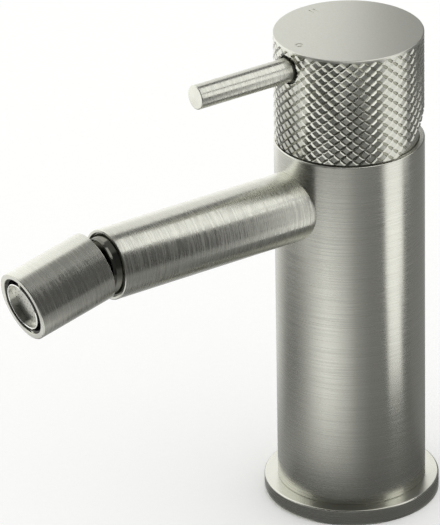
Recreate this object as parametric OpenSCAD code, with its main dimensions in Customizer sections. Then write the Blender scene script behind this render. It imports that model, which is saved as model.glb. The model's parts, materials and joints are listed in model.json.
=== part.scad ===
// Single-lever bidet mixer: barrel, level spout with a tilting nozzle, knurled knob with a pin lever.
// Origin: centre of the foot on the basin. +Z is up, the spout points to -Y, hot is on -X.

/* [Barrel] */
// Outer diameter of the barrel
body_d = 46; // [45:0.5:50]
// Height of the barrel's rim above the basin
body_h = 120; // [110:1:150]
// Bore of the barrel below the cartridge
lower_bore_d = 34; // [33:0.5:35]
// Bore of the chamber that holds the cartridge
chamber_d = 37.4; // [36.8:0.1:38.4]
// Diameter of the seat for the dome in the rim
dome_seat_d = 42.8; // [42.6:0.1:43]
// Depth of the seat for the dome
dome_seat_depth = 4; // [3:0.5:5]
// Chamfer of the rim
rim_edge = 0.35; // [0.2:0.05:0.5]

/* [Foot] */
// Diameter of the foot flange
flange_d = 54.4; // [53.5:0.1:60]
// Thickness of the foot flange
flange_h = 5; // [4:0.5:8]
// Chamfer of the flange's top edge
flange_edge = 0.5; // [0.3:0.1:1]
// Least width of the flange's ring round the barrel's spigot
flange_ring = 6.7; // [6:0.1:7]
// Least step from the barrel down to its spigot
spigot_step = 2.5; // [2:0.1:3]
// Gap from the basin to the end of the spigot
spigot_lift = 0.5; // [0.2:0.1:1]
// Wall of the flange inside the gasket groove
gasket_wall = 1.3; // [1:0.1:2]
// Wall of the flange outside the gasket groove
gasket_rim = 2; // [1.5:0.1:3]
// Depth of the gasket groove
gasket_depth = 1.5; // [1:0.1:2]

/* [Inlets] */
// Height of the inlet block
block_h = 16; // [15:1:22]
// Distance of each hose from the centre
inlet_x = 10; // [9.5:0.1:10.5]
// Tapping diameter of an M10 x 1 hose thread
hose_thread_d = 8.92; // [8.7:0.02:9.1]
// Depth of a hose thread
hose_depth = 11; // [8:0.5:11]
// Tapping diameter of the M8 fixing stud
stud_thread_d = 6.64; // [6.4:0.02:6.9]
// Depth of the fixing stud's thread
stud_depth = 13; // [10:0.5:14]
// Outer diameter of an inlet pipe
pipe_d = 8; // [7.6:0.1:8.4]
// Bore of an inlet pipe
pipe_bore_d = 6; // [5.6:0.1:6.4]
// Depth of a pipe socket
pipe_socket = 3; // [2:0.5:3.5]

/* [Cartridge] */
// Outer diameter of the cartridge
cartridge_d = 35; // [34.6:0.1:35.2]
// Thickness of the ported seat plate
plate_h = 6; // [5:0.5:8]
// Thickness of the cartridge's ported foot
cart_base_h = 5; // [4.5:0.5:6]
// Height of the wide part of the cartridge's shell
housing_h = 14; // [13.5:0.5:15]
// Height of the cartridge's narrow collar
collar_h = 7; // [6.5:0.5:8]
// Outer diameter of the narrow collar
collar_d = 29; // [28.4:0.1:29.4]
// Wall of the cartridge's shell
housing_wall = 2; // [1.8:0.1:2.2]
// Wall of the narrow collar
collar_wall = 1.5; // [1.3:0.1:1.7]
// Thickness of the collar's top lip
lip_h = 2.4; // [2:0.1:2.8]
// Height of the nut that clamps the cartridge
nut_h = 5; // [4:0.5:5.5]
// Width of a spanner slot in the nut
nut_slot = 4; // [3:0.5:5]
// Diameter of the fixed ceramic disc
fixed_disc_d = 29; // [28:0.2:30]
// Diameter of the sliding ceramic disc
moving_disc_d = 22.4; // [21.6:0.2:23]
// Thickness of each ceramic disc
disc_h = 3.5; // [3:0.1:3.7]
// Thickness of the carrier's plate
carrier_h = 3; // [2.6:0.1:3.2]
// Diameter of the carrier's boss
carrier_boss_d = 14; // [13:0.5:15]
// Diameter of a water port in the ceramic discs
disc_port_d = 4.8; // [4:0.1:5.2]
// Distance of a water port in the discs from the centre
disc_port_x = 9; // [8.5:0.1:9.5]
// Diameter of the turret's neck
turret_d = 20.4; // [20:0.1:21]
// Height of the turret above the tilt axis
turret_rise = 4.6; // [4:0.1:5]
// Thickness of the turret's flange
turret_flange_h = 3; // [2.6:0.1:3.2]
// Diameter of the cross pin
pin_d = 2.5; // [2:0.1:2.8]
// Length of the cross pin
pin_l = 19; // [17:0.5:19]
// Diameter of the stem
stem_d = 6; // [5.6:0.1:6.4]
// Diameter of the stem below the cross pin
stem_tail_d = 4.8; // [4.4:0.1:5]
// Diameter of the stem just above its ball
stem_neck_d = 3.8; // [3.4:0.1:4]
// Diameter of the ball at the stem's lower end
stem_ball_d = 5.2; // [5:0.1:5.4]
// Distance from the tilt axis to the stem's ball
stem_arm = 10.4; // [10.2:0.1:10.6]
// Height of the tilt axis above the barrel's rim
pivot_rise = 0.4; // [0.3:0.1:0.6]
// Angle that the lever lifts through
lift_angle = 20; // [15:1:21]

/* [Knob] */
// Crest diameter of the knurl, and diameter of the cap
knob_d = 45.74; // [45.6:0.02:47]
// Height of the knob with its cap
knob_h = 34.3; // [33:0.1:40]
// Gap from the rim to the knob
knob_gap = 0.7; // [0.6:0.05:1]
// Thickness of the plain cap above the knurl
cap_h = 0.8; // [0.7:0.1:1.5]
// Chamfer of the cap's edge
cap_edge = 0.35; // [0.2:0.05:0.5]
// Inner diameter of the knurled wall
sleeve_bore_d = 43.8; // [43.8:0.05:44.2]
// Number of diamonds round the knurl
knurl_count = 38; // [30:1:44]
// Number of half diamonds up the knurl
knurl_rows = 21; // [15:2:25]
// Depth of the knurl's grooves
knurl_depth = 0.32; // [0.2:0.02:0.4]
// Radius of the dome under the knob
dome_r = 21.2; // [21:0.05:21.2]
// Thickness of the dome
dome_wall = 0.8; // [0.6:0.1:1]
// Half angle of the dome's opening
dome_open = 33; // [31:1:36]
// Gap between the dome and the knob's hollow
dome_gap = 0.4; // [0.3:0.05:0.45]
// Height of the knob core's foot above the tilt axis
core_rise = 10.6; // [9:0.2:12]
// Distance behind the centre where the rear relief starts
relief_y = 1; // [0.6:0.1:1.2]
// Distance behind the centre where the relief steepens
relief_knee_y = 7.5; // [7:0.1:8]
// Height of the relief at that place
relief_knee_h = 2.4; // [2.4:0.1:3]
// Slope of the rest of the relief
relief_slope = 35; // [30:1:40]
// Depth of the hot and cold marks
mark_depth = 0.15; // [0.1:0.05:0.3]
// Distance of the hot and cold marks from the centre
mark_reach = 18.2; // [15:0.1:19]
// Height of a mark
mark_size = 2.4; // [1.5:0.1:3]
// Stroke of a mark
mark_stroke = 0.4; // [0.3:0.05:0.5]

/* [Lever] */
// Diameter of the lever
lever_d = 7.6; // [7:0.1:8.4]
// Distance of the lever's end from the knob's centre
lever_reach = 56.3; // [45:0.5:80]
// Distance of the lever's line below the knob's top
lever_drop = 6.9; // [6.5:0.1:8]
// Diameter of the hole round the lever's root
lever_hole_d = 9.2; // [8.8:0.1:9.6]
// Distance of the lever's seat from the knob's centre
lever_seat = 20.6; // [20:0.1:21]
// Length of the taper at the lever's root
lever_taper = 2.6; // [2:0.1:3.5]
// Diameter of the lever where it meets its seat
lever_root_d = 6.6; // [6.2:0.1:7]
// Chamfer of the lever's end
lever_edge = 0.25; // [0.15:0.05:0.4]
// Diameter of the lever's threaded spigot
lever_thread_d = 5; // [4.5:0.1:5.4]
// Length of the lever's threaded spigot
lever_thread_l = 10; // [8:0.5:11]
// Length of the grub screw behind the spigot
grub_l = 6; // [5:0.5:6.5]
// Hexagon across flats of the grub screw
grub_key = 2.5; // [2:0.1:2.8]

/* [Spout] */
// Distance of the spout's axis below the rim
spout_drop = 17.4; // [16:0.1:18]
// Outer diameter of the spout
spout_d = 21.8; // [21.6:0.1:24]
// Distance of the spout's mouth from the barrel's centre
spout_reach = 89.7; // [80:0.5:130]
// Bore of the spout
spout_bore_d = 17.6; // [16:0.1:18]
// Bore of the spout's mouth
mouth_d = 19.88; // [19.7:0.02:20]
// Depth of the mouth's bore
mouth_depth = 12; // [11:0.5:14]
// Distance from the centre to the end of the spout's solid root
root_end = 34; // [32:0.5:38]
// Outer diameter of the nipple
nipple_d = 15; // [14:0.1:15.4]
// Bore of the nipple
nipple_bore_d = 11.2; // [10:0.1:11.6]
// Distance from the centre to the nipple's inner end
nipple_start = 18; // [17.8:0.1:18.2]
// Length of the nipple
nipple_l = 15; // [13:0.5:15.5]
// Distance from the centre to the nipple's seal
nipple_seal_y = 27; // [26.5:0.1:28]
// Thickness of the nipple's seal
nipple_seal_d = 1.7; // [1.5:0.1:1.9]

/* [Ball joint] */
// Distance from the spout's mouth to the centre of the ball
ball_ahead = 7.9; // [7.8:0.1:9]
// Diameter of the ball
ball_d = 16.8; // [16.6:0.1:17]
// Distance from the centre of the ball to its flat front
ball_flat = 5.5; // [5:0.1:5.8]
// Diameter of the ball stud's shank
shank_d = 12.6; // [12:0.1:12.8]
// Bore of the ball stud
stud_bore_d = 7.6; // [6:0.1:8.4]
// Length of the shank behind the mouth
shank_back = 11.5; // [11.4:0.1:11.8]
// Depth of the collar's shoulder behind the mouth
neck_set = 0.8; // [0.5:0.1:1.2]
// Diameter of the polished neck at the mouth
neck_root_d = 18.8; // [18.4:0.1:19.2]
// Diameter of the polished neck under the nozzle
neck_d = 17.3; // [17:0.1:17.4]
// Distance from the mouth to the end of the neck's taper
neck_taper_l = 1.6; // [1.2:0.1:1.8]
// Distance from the mouth to the neck's front face
neck_l = 2.6; // [2.2:0.1:2.6]
// Thickness of the shank's seal
shank_seal_d = 1.7; // [1.5:0.1:1.9]
// Distance of the shank's seal behind the mouth
shank_seal_back = 5; // [4:0.2:6.5]
// Depth of the recess for the clip
clip_recess = 2.5; // [2.2:0.1:2.8]
// Outer diameter of the clip
clip_od = 15.6; // [15:0.1:16]
// Thickness of the clip
clip_h = 0.9; // [0.8:0.05:1]
// Depth of the clip's groove in the shank
clip_groove = 0.7; // [0.5:0.05:0.9]

/* [Nozzle] */
// Tilt of the nozzle below level
nozzle_tilt = 13.4; // [0:0.1:14.5]
// Outer diameter of the nozzle
nozzle_d = 21.8; // [21.8:0.1:22.4]
// Distance from the ball's centre to the outlet
nozzle_front = 22.4; // [21.6:0.1:26]
// Distance from the ball's centre to the nozzle's rear edge
nozzle_rear = 3.9; // [3.6:0.1:4]
// Inner diameter of the nozzle's rear skirt
skirt_bore_d = 20.4; // [20.3:0.05:20.6]
// Inner diameter of the skirt at its flared edge
skirt_mouth_d = 21.1; // [21:0.02:21.2]
// Length of the flare
skirt_flare = 0.6; // [0.4:0.1:0.8]
// Thread diameter of the seat nut
seat_thread_d = 20; // [19.8:0.05:20.2]
// Clearance of the ball in its seat
ball_gap = 0.1; // [0.05:0.01:0.1]
// Distance from the ball's centre to the seat nut's rear face
nut_rear = 2.8; // [2.4:0.1:2.9]
// Distance from the ball's centre to the nut's rear corner
nut_corner = 0.8; // [0.6:0.1:1]
// Diameter of the nut's flat rear land
nut_land_d = 17.2; // [16.8:0.1:17.4]
// Distance from the ball's centre to the joint of nut and seat
nut_front = 1.5; // [1:0.1:2]
// Distance from the ball's centre to the nozzle's inner wall
web_s = 6.5; // [6.2:0.1:7]
// Thickness of that wall
web_h = 2.5; // [2:0.1:3]
// Diameter of the hole in that wall
web_hole_d = 12; // [11:0.2:12.6]
// Bore of the outlet
outlet_d = 18.2; // [17.8:0.1:18.6]
// Chamfer of the outlet's edges
outlet_edge = 0.25; // [0.15:0.05:0.4]

/* [Aerator] */
// Thickness of the washer behind the aerator
washer_h = 1.5; // [1:0.1:2]
// Hole in that washer
washer_hole_d = 12.4; // [11:0.2:13.6]
// Length of the aerator's solid rear part
aerator_rear_h = 6.5; // [6:0.1:7]
// Bore of that part
aerator_bore_d = 12.6; // [11:0.2:13]
// Distance of the aerator's sleeve behind the outlet
aerator_set = 1; // [0.4:0.1:1.5]
// Wall of that sleeve
aerator_wall = 0.5; // [0.4:0.05:0.7]
// Width of the open ring between the sleeve and the screen's cup
cup_gap = 1.1; // [0.6:0.05:1.2]
// Wall of the cup
cup_wall = 0.4; // [0.35:0.05:0.6]
// Chamfer of the cup's rim
cup_edge = 0.12; // [0.08:0.02:0.16]
// Depth of the cup behind the outlet
cup_depth = 2; // [1.5:0.1:2.2]
// Depth of the cup's seat in the aerator
cup_seat = 0.5; // [0.3:0.1:1]
// Thickness of the screen in the cup
screen_h = 1.8; // [1.2:0.1:2]
// Diameter of a hole in the screen
screen_hole_d = 0.4; // [0.35:0.05:0.6]
// Spacing of the holes in the screen
screen_spacing = 1.5; // [1.4:0.1:1.8]
// Width of a key on the cup
key_w = 1.1; // [0.8:0.1:1.6]
// Height of a key on the cup
key_h = 1.2; // [0.8:0.1:1.6]

/* [Seals and fits] */
// Thickness of the seals under the cartridge and round its plate
seal_d = 1.6; // [1.4:0.1:1.7]
// Radial gap of a threaded or pressed pair
seat_gap = 0.03; // [0.02:0.01:0.05]
// Radial gap of a running pair
run_gap = 0.05; // [0.03:0.01:0.08]
// Gap round a piece that swings
swing_gap = 0.15; // [0.1:0.01:0.2]

/* [Hidden] */
$fn = 96;
// Smoother circles where a thin wall would lose volume
thin_wall_fn = 360;
// Overlap that lets a cut break through
over = 1;

// Barrel and foot, across
body_r = body_d / 2;
flange_r = flange_d / 2;
spigot_r = min(body_r - spigot_step, flange_r - flange_ring);
gasket_inner_r = spigot_r + gasket_wall;
gasket_outer_r = flange_r - gasket_rim;

// Heights up the barrel
chamber_r = chamber_d / 2;
dome_seat_z = body_h - dome_seat_depth;
shoulder_z = dome_seat_z - nut_h;
housing_z = shoulder_z - housing_h;
cart_base_z = housing_z - cart_base_h;
plate_z = cart_base_z - plate_h;
pivot_z = body_h + pivot_rise;
spout_z = body_h - spout_drop;
pipe_z = block_h - pipe_socket;

// Cartridge stack
housing_r = cartridge_d / 2 - housing_wall;
collar_r = collar_d / 2 - collar_wall;
lip_z = shoulder_z + collar_h - lip_h;
turret_flange_z = lip_z - swing_gap - turret_flange_h;
turret_flange_r = collar_r - run_gap;
moving_z = housing_z + disc_h + run_gap;
carrier_z = moving_z + disc_h;
stem_ball_z = pivot_z - stem_arm;
socket_r = stem_ball_d / 2 + swing_gap;
socket_z = stem_ball_z - socket_r;
carrier_top_z = stem_ball_z + stem_ball_d / 4;
stem_tail_top_z = pivot_z - pin_d - run_gap;

// Slot in the turret for the tilting stem
slot_back = stem_d / 2 / cos(lift_angle) + turret_rise * tan(lift_angle) + 2 * swing_gap;
slot_drop = pivot_z - turret_flange_z;
slot_front = stem_tail_d / 2 / cos(lift_angle) + slot_drop * tan(lift_angle) + 2 * swing_gap;

// Knob
knob_r = knob_d / 2;
knob_z = body_h + knob_gap;
knob_top_z = knob_z + knob_h;
cap_z = knob_top_z - cap_h;
core_z = pivot_z + core_rise;
core_r = sleeve_bore_d / 2 - seat_gap;
hollow_r = dome_r + dome_gap;
lever_z = knob_top_z - lever_drop;
stem_top_z = lever_z + lever_thread_d / 2;
relief_rear_y = knob_r + over;
relief_rear_h = relief_knee_h + (relief_rear_y - relief_knee_y) * tan(relief_slope);

// Nozzle, along its own axis from the ball's centre
aerator_s = web_s + web_h + washer_h;
aerator_r = outlet_d / 2 - seat_gap;
aerator_sleeve_r = aerator_r - aerator_wall;
cup_s = aerator_s + aerator_rear_h - cup_seat;
cup_r = aerator_sleeve_r - cup_gap;
screen_s = nozzle_front - cup_depth - screen_h;
screen_r = cup_r - cup_wall;
screen_rings = floor((screen_r - screen_hole_d) / screen_spacing);
key_s = nozzle_front - aerator_set - key_h;

// Colours
nickel = "#b5aea6";
nickel_polished = "#c4bfb8";
brass = "#c2a25a";
ceramic = "#e9e6df";
black_plastic = "#33353a";
white_plastic = "#d8d6d0";
rubber = "#1d1d1f";

// Helpers

module ring(outer_r, inner_r, bottom, top) {
    translate([0, 0, bottom])
        difference() {
            cylinder(r = outer_r, h = top - bottom);
            translate([0, 0, -over]) cylinder(r = inner_r, h = top - bottom + 2 * over);
        }
}

module rod(radius, bottom, top) {
    translate([0, 0, bottom]) cylinder(r = radius, h = top - bottom);
}

module seal(middle_r, thickness) {
    rotate_extrude() translate([middle_r, 0]) circle(d = thickness);
}

module both_sides() {
    for (side = [-1, 1]) translate([side * inlet_x, 0, 0]) children();
}

// Places a piece drawn along +Z on the spout's axis, at a distance from the barrel's centre
module on_spout(distance = 0) {
    translate([0, -distance, spout_z]) rotate([90, 0, 0]) children();
}

module on_lever() {
    translate([0, 0, lever_z]) rotate([90, 0, 0]) children();
}

module on_nozzle() {
    translate([0, -spout_reach - ball_ahead, spout_z]) rotate([90 + nozzle_tilt, 0, 0]) children();
}

// Barrel and foot

module body() {
    color(nickel) difference() {
        rotate_extrude() polygon([
            [lower_bore_d / 2, spigot_lift],
            [spigot_r, spigot_lift],
            [spigot_r, flange_h],
            [body_r, flange_h],
            [body_r, body_h - rim_edge],
            [body_r - rim_edge, body_h],
            [dome_seat_d / 2, body_h],
            [dome_seat_d / 2, dome_seat_z],
            [chamber_r, dome_seat_z],
            [chamber_r, plate_z],
            [lower_bore_d / 2, plate_z]
        ]);
        on_spout() rod(nipple_d / 2 + seat_gap, 0, body_d);
    }
}

module base_flange() {
    bore_r = spigot_r + seat_gap;
    color(nickel) difference() {
        rotate_extrude() polygon([
            [bore_r, 0],
            [flange_r, 0],
            [flange_r, flange_h - flange_edge],
            [flange_r - flange_edge, flange_h],
            [bore_r, flange_h]
        ]);
        ring(gasket_outer_r, gasket_inner_r, -over, gasket_depth);
    }
}

module base_gasket() {
    color(rubber) ring(gasket_outer_r - seat_gap, gasket_inner_r + seat_gap, 0, gasket_depth);
}

// Inlets

module inlet_block() {
    color(brass) difference() {
        cylinder(d = lower_bore_d - 2 * seat_gap, h = block_h);
        translate([0, 0, -over]) cylinder(d = stud_thread_d, h = stud_depth + over);
        both_sides() {
            rod(hose_thread_d / 2, -over, hose_depth);
            rod(pipe_bore_d / 2, 0, block_h + over);
            rod(pipe_d / 2 + seat_gap, pipe_z, block_h + over);
        }
    }
}

module inlet_pipe(side) {
    translate([side * inlet_x, 0, 0]) ring(pipe_d / 2, pipe_bore_d / 2, pipe_z, plate_z + pipe_socket);
}

module inlet_pipe_hot() {
    color(brass) inlet_pipe(-1);
}

module inlet_pipe_cold() {
    color(brass) inlet_pipe(1);
}

// Cartridge

module seat_plate() {
    plate_r = chamber_r - seat_gap;
    middle_z = plate_z + plate_h / 2;
    color(brass) difference() {
        rod(plate_r, plate_z, cart_base_z);
        both_sides() {
            rod(pipe_d / 2 + seat_gap, plate_z - over, plate_z + pipe_socket);
            rod(pipe_bore_d / 2, plate_z, cart_base_z + over);
        }
        ring(chamber_r + over, chamber_r - seal_d - 2 * run_gap, middle_z - seal_d / 2 - run_gap,
            middle_z + seal_d / 2 + run_gap);
    }
}

module plate_seal() {
    color(rubber) translate([0, 0, plate_z + plate_h / 2])
        seal(chamber_r - seal_d / 2 - run_gap, seal_d);
}

module port_seals() {
    color(rubber) both_sides()
        translate([0, 0, cart_base_z + seal_d / 2 + run_gap])
            seal(pipe_bore_d / 2 + seal_d / 2 + 2 * run_gap, seal_d);
}

module cartridge_base() {
    seal_inner_r = pipe_bore_d / 2 + run_gap;
    groove_top = cart_base_z + seal_d + 2 * run_gap;
    color(black_plastic) difference() {
        rod(cartridge_d / 2, cart_base_z, housing_z);
        both_sides() ring(seal_inner_r + seal_d + 2 * run_gap, seal_inner_r, cart_base_z - over, groove_top);
        both_sides() rod(disc_port_d / 2, cart_base_z - over, groove_top + over);
        for (side = [-1, 1]) translate([side * disc_port_x, 0, 0])
            rod(disc_port_d / 2, groove_top, housing_z + over);
        rod(disc_port_d / 2, groove_top, housing_z + over);
        translate([0, 0, (groove_top + housing_z) / 2])
            rotate([90, 0, 0]) cylinder(d = disc_port_d / 2, h = cartridge_d + over, center = true);
    }
}

module fixed_disc() {
    color(ceramic) difference() {
        rod(fixed_disc_d / 2, housing_z, housing_z + disc_h);
        for (place = [-disc_port_x, 0, disc_port_x]) translate([place, 0, 0])
            rod(disc_port_d / 2, housing_z - over, housing_z + disc_h + over);
    }
}

module moving_disc() {
    color(ceramic) difference() {
        rod(moving_disc_d / 2, moving_z, carrier_z);
        rod(disc_port_x - disc_port_d / 2, moving_z - over, moving_z + disc_h / 2);
    }
}

module disc_carrier() {
    color(black_plastic) difference() {
        union() {
            rod(moving_disc_d / 2, carrier_z, carrier_z + carrier_h);
            rod(carrier_boss_d / 2, carrier_z, carrier_top_z);
        }
        rod(socket_r, socket_z, carrier_top_z + over);
    }
}

module cartridge_housing() {
    color(white_plastic) rotate_extrude() polygon([
        [housing_r, housing_z],
        [cartridge_d / 2, housing_z],
        [cartridge_d / 2, shoulder_z],
        [collar_d / 2, shoulder_z],
        [collar_d / 2, shoulder_z + collar_h],
        [turret_d / 2 + run_gap, shoulder_z + collar_h],
        [turret_d / 2 + run_gap, lip_z],
        [collar_r, lip_z],
        [collar_r, shoulder_z - housing_wall],
        [housing_r, shoulder_z - housing_wall]
    ]);
}

module turret() {
    slot_w = stem_d + 2 * swing_gap;
    color(black_plastic) difference() {
        union() {
            rod(turret_flange_r, turret_flange_z, turret_flange_z + turret_flange_h);
            rod(turret_d / 2, turret_flange_z, pivot_z + turret_rise);
        }
        translate([-slot_w / 2, -slot_front, turret_flange_z - over])
            cube([slot_w, slot_front + slot_back, slot_drop + turret_rise + 2 * over]);
        translate([0, 0, pivot_z]) rotate([0, 90, 0])
            cylinder(d = pin_d + 2 * seat_gap, h = turret_d + over, center = true);
    }
}

module pivot_pin() {
    color("silver") translate([0, 0, pivot_z]) rotate([0, 90, 0])
        cylinder(d = pin_d, h = pin_l, center = true);
}

module stem() {
    color(brass) difference() {
        union() {
            translate([0, 0, stem_ball_z]) sphere(d = stem_ball_d);
            rod(stem_neck_d / 2, stem_ball_z, turret_flange_z + over);
            rod(stem_tail_d / 2, turret_flange_z, stem_tail_top_z + over);
            rod(stem_d / 2, stem_tail_top_z, stem_top_z);
        }
        translate([0, 0, pivot_z]) rotate([0, 90, 0])
            cylinder(d = pin_d + 2 * run_gap, h = stem_d + over, center = true);
    }
}

module clamp_nut() {
    color(brass) difference() {
        ring(chamber_r - seat_gap, collar_d / 2 + seat_gap, shoulder_z, dome_seat_z);
        for (turn = [0, 90]) rotate([0, 0, turn])
            translate([-chamber_d / 2, -nut_slot / 2, dome_seat_z - nut_h / 2])
                cube([chamber_d, nut_slot, nut_h]);
    }
}

// Knob

module dome_cover() {
    reach = dome_r * cos(dome_open);
    color(nickel) difference() {
        union() {
            translate([0, 0, pivot_z]) sphere(r = dome_r);
            rod(dome_r, dome_seat_z, pivot_z);
        }
        translate([0, 0, pivot_z]) sphere(r = dome_r - dome_wall);
        rod(dome_r - dome_wall, dome_seat_z - over, pivot_z);
        rod(dome_r + over, pivot_z - 2 * dome_r, dome_seat_z);
        translate([0, 0, pivot_z]) cylinder(r1 = 0, r2 = 2 * reach * tan(dome_open), h = 2 * reach);
    }
}

// The rear relief lets the knob tip back over the rim
module rear_relief() {
    rotate([90, 0, 90]) translate([0, 0, -knob_d]) linear_extrude(2 * knob_d) polygon([
        [relief_y - over * (relief_knee_y - relief_y) / relief_knee_h, knob_z - over],
        [relief_knee_y, knob_z + relief_knee_h],
        [relief_rear_y, knob_z + relief_rear_h],
        [relief_rear_y, knob_z - over]
    ]);
}

// A ring over the lever marks cold, and two bars a quarter turn to the left mark hot
module top_marks() {
    bottom = knob_top_z - mark_depth;
    translate([0, -mark_reach, 0])
        ring(mark_size / 2, mark_size / 2 - mark_stroke, bottom, knob_top_z + over);
    for (side = [-1, 1])
        translate([-mark_reach - mark_size / 2, side * mark_size / 3 - mark_stroke / 2, bottom])
            cube([mark_size, mark_stroke, mark_depth + over]);
}

module knob_core() {
    color(nickel) difference() {
        union() {
            rod(core_r, core_z, cap_z + cap_h / 2);
            rotate_extrude() polygon([
                [0, cap_z],
                [knob_r, cap_z],
                [knob_r, knob_top_z - cap_edge],
                [knob_r - cap_edge, knob_top_z],
                [0, knob_top_z]
            ]);
        }
        translate([0, 0, pivot_z]) sphere(r = hollow_r);
        rod(stem_d / 2 + seat_gap, pivot_z, stem_top_z + swing_gap);
        on_lever() rod(lever_thread_d / 2 + seat_gap, 0, knob_r);
        on_lever() rod(lever_hole_d / 2, lever_seat, knob_r + over);
        rear_relief();
        top_marks();
    }
}

// Points of the knurl, row by row. Crests and grooves take turns along each row.
function knurl_radius(column, row) = (column + row) % 2 == 0 ? knob_r : knob_r - knurl_depth;

function knurl_points() = [
    for (row = [0 : knurl_rows], column = [0 : 2 * knurl_count - 1])
        let (angle = 180 * column / knurl_count, radius = knurl_radius(column, row))
            [radius * sin(angle), -radius * cos(angle), knob_z + (cap_z - knob_z) * row / knurl_rows]
];

// Each square between four points is split along its groove
function knurl_faces() =
    let (across = 2 * knurl_count) [
        for (row = [0 : knurl_rows - 1], column = [0 : across - 1], half = [0, 1])
            let (
                next = (column + 1) % across,
                a = row * across + column,
                b = row * across + next,
                c = (row + 1) * across + next,
                d = (row + 1) * across + column,
                crest_first = (column + row) % 2 == 0
            )
                crest_first ? (half == 0 ? [a, d, b] : [c, b, d]) : (half == 0 ? [b, a, c] : [d, c, a])
    ];

module knurl_blank() {
    across = 2 * knurl_count;
    lower = [for (column = [0 : across - 1]) column];
    upper = [for (column = [0 : across - 1]) knurl_rows * across + across - 1 - column];
    polyhedron(points = knurl_points(), faces = concat(knurl_faces(), [lower, upper]), convexity = 4);
}

module knurl_sleeve() {
    color(nickel) difference() {
        knurl_blank();
        rod(sleeve_bore_d / 2, knob_z - over, cap_z + over, $fn = thin_wall_fn);
        on_lever() rod(lever_hole_d / 2, 0, knob_d);
        rear_relief();
    }
}

module lever_rod() {
    lever_r = lever_d / 2;
    color(nickel) on_lever() rotate_extrude() polygon([
        [0, lever_seat - lever_thread_l],
        [lever_thread_d / 2, lever_seat - lever_thread_l],
        [lever_thread_d / 2, lever_seat],
        [lever_root_d / 2, lever_seat],
        [lever_r, lever_seat + lever_taper],
        [lever_r, lever_reach - lever_edge],
        [lever_r - lever_edge, lever_reach],
        [0, lever_reach]
    ]);
}

module grub_screw() {
    tip = stem_d / 2 + seat_gap;
    color("dimgray") on_lever() difference() {
        rod(lever_thread_d / 2, tip, tip + grub_l);
        translate([0, 0, tip + grub_l / 2]) cylinder(d = grub_key / cos(30), h = grub_l, $fn = 6);
    }
}

// Spout

module spout_tube() {
    groove_r = nipple_d / 2 + nipple_seal_d + 2 * run_gap;
    groove_half = nipple_seal_d / 2 + run_gap;
    color(nickel) difference() {
        on_spout() rotate_extrude() polygon([
            [nipple_d / 2 + seat_gap, 0],
            [spout_d / 2, 0],
            [spout_d / 2, spout_reach - outlet_edge],
            [spout_d / 2 - outlet_edge, spout_reach],
            [mouth_d / 2, spout_reach],
            [mouth_d / 2, spout_reach - mouth_depth],
            [spout_bore_d / 2, spout_reach - mouth_depth],
            [spout_bore_d / 2, root_end],
            [nipple_d / 2 + seat_gap, root_end]
        ]);
        rod(body_r + seat_gap, 0, 2 * body_h);
        on_spout() ring(groove_r, nipple_d / 2, nipple_seal_y - groove_half, nipple_seal_y + groove_half);
    }
}

module spout_nipple() {
    color(brass) on_spout() ring(nipple_d / 2, nipple_bore_d / 2, nipple_start, nipple_start + nipple_l);
}

module spout_seal() {
    color(rubber) on_spout(nipple_seal_y) seal(nipple_d / 2 + nipple_seal_d / 2 + run_gap, nipple_seal_d);
}

// Ball joint, with distances from the spout's mouth

module spout_collar() {
    bore_r = shank_d / 2 + run_gap;
    groove_half = shank_seal_d / 2 + run_gap;
    groove_r = bore_r + shank_seal_d + run_gap;
    color(nickel_polished) on_spout(spout_reach) difference() {
        rotate_extrude() polygon([
            [bore_r, -mouth_depth],
            [mouth_d / 2 - seat_gap, -mouth_depth],
            [mouth_d / 2 - seat_gap, -neck_set],
            [neck_root_d / 2, -neck_set],
            [neck_d / 2, neck_taper_l],
            [neck_d / 2, neck_l],
            [bore_r, neck_l]
        ]);
        ring(groove_r, shank_d / 2, -shank_seal_back - groove_half, -shank_seal_back + groove_half);
        rod(clip_od / 2 + swing_gap, -mouth_depth - over, -mouth_depth + clip_recess);
        translate([0, 0, ball_ahead]) sphere(d = ball_d + 2 * swing_gap);
    }
}

module stud_seal() {
    color(rubber) on_spout(spout_reach - shank_seal_back)
        seal(shank_d / 2 + shank_seal_d / 2 + run_gap, shank_seal_d);
}

module ball_stud() {
    clip_top = -mouth_depth + clip_recess - run_gap;
    color(nickel_polished) on_spout(spout_reach) difference() {
        union() {
            rod(shank_d / 2, -shank_back, ball_ahead);
            translate([0, 0, ball_ahead]) sphere(d = ball_d);
        }
        rod(stud_bore_d / 2, -shank_back - over, ball_ahead + ball_d);
        rod(ball_d, ball_ahead + ball_flat, ball_ahead + ball_d);
        ring(shank_d, shank_d / 2 - clip_groove, clip_top - clip_h - seat_gap, clip_top + seat_gap);
    }
}

module stud_clip() {
    clip_top = -mouth_depth + clip_recess - run_gap;
    color("silver") on_spout(spout_reach)
        ring(clip_od / 2, shank_d / 2 - clip_groove + seat_gap, clip_top - clip_h, clip_top);
}

// Nozzle, with distances from the ball's centre

module nozzle_shell() {
    nozzle_r = nozzle_d / 2;
    web_front = web_s + web_h;
    rear_edge = (nozzle_d - skirt_mouth_d) / 4;
    color(nickel) on_nozzle() rotate_extrude() polygon([
        [skirt_mouth_d / 2, -nozzle_rear],
        [nozzle_r - rear_edge, -nozzle_rear],
        [nozzle_r, -nozzle_rear + rear_edge],
        [nozzle_r, nozzle_front - outlet_edge],
        [nozzle_r - outlet_edge, nozzle_front],
        [outlet_d / 2 + outlet_edge, nozzle_front],
        [outlet_d / 2, nozzle_front - outlet_edge],
        [outlet_d / 2, web_front],
        [web_hole_d / 2, web_front],
        [web_hole_d / 2, web_s],
        [seat_thread_d / 2, web_s],
        [seat_thread_d / 2, -nut_corner],
        [skirt_bore_d / 2, -nut_corner],
        [skirt_bore_d / 2, -nozzle_rear + skirt_flare]
    ]);
}

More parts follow.
